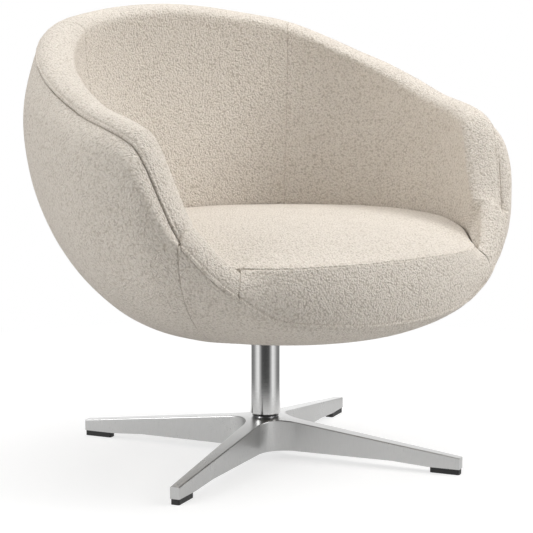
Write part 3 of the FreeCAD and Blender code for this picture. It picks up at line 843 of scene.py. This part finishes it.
def math_node(tree, operation, a, b):
    node = tree.nodes.new("ShaderNodeMath")
    node.operation = operation
    for i, value in enumerate((a, b)):
        if isinstance(value, (int, float)):
            node.inputs[i].default_value = value
        else:
            tree.links.new(value, node.inputs[i])
    return node.outputs[0]


def bump(tree, height, strength, distance):
    node = add(tree, "ShaderNodeBump", Strength=strength, Distance=distance)
    tree.links.new(height, node.inputs["Height"])
    return node.outputs[0]


def boucle():
    """Short looped wool: small curled lumps with creases between them, over a faint mottle. Its
    colour has painted shade in the creases and a painted highlight on the lumps.
    """
    material, tree, shader = new_material("boucle_wool")
    where = object_place(tree)
    bend = texture(tree, "ShaderNodeTexNoise", where, Scale=150.0, Detail=2.0)
    shift = tree.nodes.new("ShaderNodeVectorMath")
    shift.operation = "MULTIPLY_ADD"
    shift.inputs[1].default_value = (0.006, 0.006, 0.006)
    tree.links.new(bend.outputs["Color"], shift.inputs[0])
    tree.links.new(where, shift.inputs[2])
    curled = shift.outputs[0]
    loops = texture(tree, "ShaderNodeTexVoronoi", curled, feature="SMOOTH_F1", Scale=330.0,
                    Smoothness=0.35, Randomness=1.0)
    fibres = texture(tree, "ShaderNodeTexNoise", curled, Scale=900.0, Detail=3.0, Roughness=0.6)
    mottle = texture(tree, "ShaderNodeTexNoise", where, Scale=85.0, Detail=3.0, Roughness=0.55)
    lumps = math_node(tree, "MULTIPLY", loops.outputs["Distance"], -1.0)
    height = math_node(tree, "ADD", lumps, math_node(tree, "MULTIPLY", fibres.outputs["Fac"], 0.3))
    tree.links.new(bump(tree, height, 0.9, 0.0026), shader.inputs["Normal"])
    # Painted shade and highlight: the colour darkens where the lumps fall into creases and lightens
    # on their tops. The mottle and the fibres add the wool's own tone.
    painted_crease_shade_and_tone = math_node(tree, "ADD", math_node(tree, "MULTIPLY", loops.outputs["Distance"], -0.6),
                      math_node(tree, "MULTIPLY", mottle.outputs["Fac"], 0.16))
    painted_crease_shade_and_tone = math_node(tree, "ADD", painted_crease_shade_and_tone, math_node(tree, "MULTIPLY", fibres.outputs["Fac"], 0.25))
    colour = ramp(tree, spread(tree, painted_crease_shade_and_tone, -0.3, 0.15, 0.0, 1.0),
                  [(0.0, (0.57, 0.505, 0.43, 1)), (0.5, (0.76, 0.695, 0.615, 1)),
                   (1.0, (0.83, 0.77, 0.695, 1))])
    tree.links.new(colour, shader.inputs["Base Color"])
    tree.links.new(spread(tree, fibres.outputs["Fac"], 0.3, 0.7, 0.88, 0.98),
                   shader.inputs["Roughness"])
    shader.inputs["Sheen Weight"].default_value = 0.2
    shader.inputs["Sheen Roughness"].default_value = 0.5
    shader.inputs["Sheen Tint"].default_value = (1.0, 0.97, 0.93, 1)
    shader.inputs["Specular IOR Level"].default_value = 0.2
    return material


def thread():
    """Twisted sewing thread, a little darker than the cloth."""
    material, tree, shader = new_material("sewing_thread")
    twist = texture(tree, "ShaderNodeTexNoise", object_place(tree), Scale=1500.0, Detail=2.0)
    tree.links.new(ramp(tree, twist.outputs["Fac"], [(0.3, (0.56, 0.49, 0.41, 1)),
                                                     (0.7, (0.72, 0.65, 0.57, 1))]),
                   shader.inputs["Base Color"])
    tree.links.new(bump(tree, twist.outputs["Fac"], 0.4, 0.0003), shader.inputs["Normal"])
    shader.inputs["Roughness"].default_value = 0.7
    return material


def metal(name, colour, rough, grain_scale, grain_strength):
    """Metal with a fine grain; the grain is drawn out along the small components of its scale."""
    material, tree, shader = new_material(name)
    where = object_place(tree, grain_scale)
    grain = texture(tree, "ShaderNodeTexNoise", where, Scale=1.0, Detail=4.0, Roughness=0.65)
    cloud = texture(tree, "ShaderNodeTexNoise", object_place(tree), Scale=14.0, Detail=3.0)
    shader.inputs["Metallic"].default_value = 1.0
    dark = tuple(c * 0.93 for c in colour) + (1,)
    tree.links.new(ramp(tree, grain.outputs["Fac"], [(0.3, dark), (0.7, colour + (1,))]),
                   shader.inputs["Base Color"])
    mixed = math_node(tree, "ADD", math_node(tree, "MULTIPLY", grain.outputs["Fac"], 0.6),
                      math_node(tree, "MULTIPLY", cloud.outputs["Fac"], 0.4))
    tree.links.new(spread(tree, mixed, 0.3, 0.7, rough - 0.05, rough + 0.05),
                   shader.inputs["Roughness"])
    tree.links.new(bump(tree, grain.outputs["Fac"], grain_strength, 0.0002),
                   shader.inputs["Normal"])
    return material


def dull(name, low, high, scale, rough, bumpiness, distance=0.0004):
    """A matt material whose colour and surface vary finely."""
    material, tree, shader = new_material(name)
    grain = texture(tree, "ShaderNodeTexNoise", object_place(tree), Scale=scale, Detail=4.0)
    tree.links.new(ramp(tree, grain.outputs["Fac"], [(0.3, low + (1,)), (0.7, high + (1,))]),
                   shader.inputs["Base Color"])
    tree.links.new(spread(tree, grain.outputs["Fac"], 0.3, 0.7, rough - 0.06, rough + 0.06),
                   shader.inputs["Roughness"])
    tree.links.new(bump(tree, grain.outputs["Fac"], bumpiness, distance), shader.inputs["Normal"])
    return material


fabric = boucle()
thread_material = thread()
aluminium = metal("satin_aluminium", (0.51, 0.51, 0.505), 0.3, (700.0, 700.0, 90.0), 0.1)
column_steel = metal("satin_steel_column", (0.56, 0.56, 0.555), 0.12, (60.0, 60.0, 1400.0), 0.08)
ground_steel = metal("ground_steel", (0.55, 0.55, 0.56), 0.25, (40.0, 40.0, 1500.0), 0.1)
zinc = metal("zinc_plated_steel", (0.62, 0.63, 0.66), 0.4, (300.0, 300.0, 300.0), 0.2)
black_steel = dull("black_plate_steel", (0.02, 0.02, 0.02), (0.035, 0.035, 0.035), 500.0, 0.5, 0.2)
rubber = dull("black_rubber", (0.012, 0.012, 0.012), (0.022, 0.022, 0.022), 900.0, 0.62, 0.3)
bush_plastic = dull("bush_plastic", (0.03, 0.03, 0.032), (0.05, 0.05, 0.052), 700.0, 0.45, 0.1)
cage_brass = metal("cage_brass", (0.72, 0.53, 0.25), 0.35, (300.0, 300.0, 300.0), 0.1)
moulded = dull("moulded_shell", (0.05, 0.05, 0.05), (0.09, 0.09, 0.09), 300.0, 0.6, 0.3)
foam = dull("cut_foam", (0.62, 0.58, 0.46), (0.74, 0.70, 0.58), 700.0, 0.9, 0.8, 0.001)
felt = dull("under_cloth_felt", (0.018, 0.018, 0.018), (0.04, 0.04, 0.04), 900.0, 0.9, 0.6)

node_materials = {
    "star_base": aluminium, "column_sleeve": column_steel, "post": ground_steel,
    "top_cap": zinc, "seat_plate": black_steel, "plate_bolts": zinc, "plate_washers": zinc,
    "tee_nuts": zinc, "lower_bush": bush_plastic, "upper_bush": bush_plastic,
    "thrust_race_upper": ground_steel, "thrust_race_lower": ground_steel,
    "thrust_rollers": ground_steel, "roller_cage": cage_brass, "pivot_washer": zinc,
    "pivot_bolt": black_steel, "post_washer": zinc, "post_bolt": zinc, "glide_screws": zinc,
    "tub_shell": moulded, "inner_padding": foam, "seat_foam": foam, "bottom_cover": felt,
    "glide_right": rubber, "glide_back": rubber, "glide_left": rubber, "glide_front": rubber,
}
for name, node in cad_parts.items():
    material = node_materials.get(name, fabric)
    node.data.materials.clear()
    node.data.materials.append(material)

for obj in (side_panel, front_panel, back_pad, arm_pads[-1], arm_pads[1], seat):
    obj.data.materials.append(fabric)
threads.data.materials.append(thread_material)
cloth.data.materials.append(felt)

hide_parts("outer_cover")
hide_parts("front_cover")
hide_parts("inner_back_cover", "inner_padding")
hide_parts("inner_arm_cover_left", "inner_padding")
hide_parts("inner_arm_cover_right", "inner_padding")
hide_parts("seat_top_cover", "seat_front_cover", "seat_foam")
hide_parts("bottom_cover")
for obj in (side_panel, front_panel, back_pad, arm_pads[-1], arm_pads[1], seat, threads, cloth):
    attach(obj, "seat_tub")


# Floor, light and camera

def mixed_shader(tree, share, first, second):
    """The first shader where share is 0 and the second where it is 1."""
    node = tree.nodes.new("ShaderNodeMixShader")
    tree.links.new(share, node.inputs[0])
    tree.links.new(first.outputs[0], node.inputs[1])
    tree.links.new(second.outputs[0], node.inputs[2])
    return node


def floor():
    """A pale floor. The camera sees it turn white away from the chair, and polished metal sees
    only its near part, so that the column shows the studio's light and dark sides."""
    mesh = bpy.data.meshes.new("studio_floor")
    reach, low = 9.0, -0.0004
    mesh.from_pydata([(-reach, -reach, low), (reach, -reach, low),
                      (reach, reach, low), (-reach, reach, low)], [], [(0, 1, 2, 3)])
    obj = bpy.data.objects.new("studio_floor", mesh)
    bpy.context.scene.collection.objects.link(obj)
    material = bpy.data.materials.new("studio_floor")
    material.use_nodes = True
    tree = material.node_tree
    tree.nodes.clear()
    output = tree.nodes.new("ShaderNodeOutputMaterial")
    path = tree.nodes.new("ShaderNodeLightPath")
    plain = add(tree, "ShaderNodeBsdfDiffuse", Color=(0.7, 0.7, 0.7, 1))
    shadowed = add(tree, "ShaderNodeBsdfDiffuse", Color=(0.42, 0.42, 0.42, 1))
    glow = add(tree, "ShaderNodeEmission", Color=(1, 1, 1, 1), Strength=0.675)
    both = tree.nodes.new("ShaderNodeAddShader")
    tree.links.new(shadowed.outputs[0], both.inputs[0])
    tree.links.new(glow.outputs[0], both.inputs[1])
    coordinates = tree.nodes.new("ShaderNodeTexCoord")
    away = tree.nodes.new("ShaderNodeVectorMath")
    away.operation = "LENGTH"
    tree.links.new(coordinates.outputs["Object"], away.inputs[0])
    far = spread(tree, away.outputs["Value"], 0.55, 1.3, 0.0, 1.0)
    farther = spread(tree, away.outputs["Value"], 0.35, 0.6, 0.0, 1.0)
    white = add(tree, "ShaderNodeEmission", Color=(1, 1, 1, 1), Strength=1.0)
    seen = mixed_shader(tree, far, both, white)
    reflected = mixed_shader(tree, farther, both, tree.nodes.new("ShaderNodeBsdfTransparent"))
    unseen = mixed_shader(tree, path.outputs["Is Glossy Ray"], plain, reflected)
    choice = mixed_shader(tree, path.outputs["Is Camera Ray"], unseen, seen)
    tree.links.new(choice.outputs[0], output.inputs[0])
    mesh.materials.append(material)


def studio():
    """White to the camera, soft light to cloth, and bright and dark sides to polished metal."""
    world = bpy.data.worlds.new("studio")
    bpy.context.scene.world = world
    world.use_nodes = True
    tree = world.node_tree
    tree.nodes.clear()
    output = tree.nodes.new("ShaderNodeOutputWorld")
    coordinates = tree.nodes.new("ShaderNodeTexCoord")
    front_side = tree.nodes.new("ShaderNodeVectorMath")
    front_side.operation = "DOT_PRODUCT"
    front_side.inputs[1].default_value = (-0.57, -0.82, 0.05)
    tree.links.new(coordinates.outputs["Generated"], front_side.inputs[0])
    around_it = spread(tree, front_side.outputs["Value"], -1.0, 1.0, 0.0, 1.0)
    level = ramp(tree, around_it, [(0.0, (0.3, 0.3, 0.3, 1)), (0.5, (0.3, 0.3, 0.3, 1)),
                                   (0.9, (0.14, 0.14, 0.14, 1))])
    bands = ramp(tree, around_it, [(0.0, (1.0, 1.0, 1.0, 1)), (0.1, (0.8, 0.8, 0.8, 1)),
                                   (0.2, (0.16, 0.16, 0.16, 1)), (0.45, (0.32, 0.32, 0.32, 1)),
                                   (0.64, (0.8, 0.8, 0.8, 1)), (0.76, (1.0, 1.0, 1.0, 1)),
                                   (0.84, (0.55, 0.55, 0.55, 1)), (0.93, (0.1, 0.1, 0.1, 1)),
                                   (1.0, (0.06, 0.06, 0.06, 1))])
    lit = tree.nodes.new("ShaderNodeBackground")
    tree.links.new(level, lit.inputs["Color"])
    panels = add(tree, "ShaderNodeBackground", Strength=1.45)
    tree.links.new(bands, panels.inputs["Color"])
    white = add(tree, "ShaderNodeBackground", Color=(1, 1, 1, 1))
    path = tree.nodes.new("ShaderNodeLightPath")
    unseen = mixed_shader(tree, path.outputs["Is Glossy Ray"], lit, panels)
    choice = mixed_shader(tree, path.outputs["Is Camera Ray"], unseen, white)
    tree.links.new(choice.outputs[0], output.inputs[0])


def softbox(name, azimuth, elevation, distance, width, height, power):
    """A rectangular lamp aimed at the chair, placed by direction from the chair."""
    target = Vector((0, -axis_forward * metre, 0.42))
    a, e = math.radians(azimuth), math.radians(elevation)
    towards = Vector((math.sin(a) * math.cos(e), math.cos(a) * math.cos(e), math.sin(e)))
    lamp = bpy.data.lights.new(name, "AREA")
    lamp.shape = "RECTANGLE"
    lamp.size, lamp.size_y = width, height
    lamp.energy = power
    obj = bpy.data.objects.new(name, lamp)
    obj.location = target + towards * distance
    obj.rotation_mode = "QUATERNION"
    obj.rotation_quaternion = (-towards).to_track_quat("-Z", "Y")
    bpy.context.scene.collection.objects.link(obj)


floor()
studio()
camera_side = -145.3    # direction from the chair to the camera
softbox("right_softbox", camera_side - 80, 36, 3.0, 1.3, 2.2, 63)
softbox("left_softbox", camera_side + 64, 24, 3.0, 1.0, 2.2, 37)
softbox("top_softbox", camera_side + 180, 80, 2.6, 2.0, 2.0, 47)

# The camera was fitted to the photo's outlines: focal length in pixels of a photo 533 wide
sensor_width = 36.0
focal_pixels = 1720.74
photo_width = 533
camera_pitch = 8.1288
camera_turn = -34.70
camera_data = bpy.data.cameras.new("camera")
camera_data.sensor_width = sensor_width
camera_data.lens = sensor_width * focal_pixels / photo_width
camera = bpy.data.objects.new("camera", camera_data)
camera.location = (-1.62086, -2.36380, 0.72755)
camera.rotation_euler = (math.radians(90 - camera_pitch), 0, math.radians(camera_turn))
bpy.context.scene.collection.objects.link(camera)
bpy.context.scene.camera = camera
bpy.context.scene.view_settings.view_transform = "Standard"
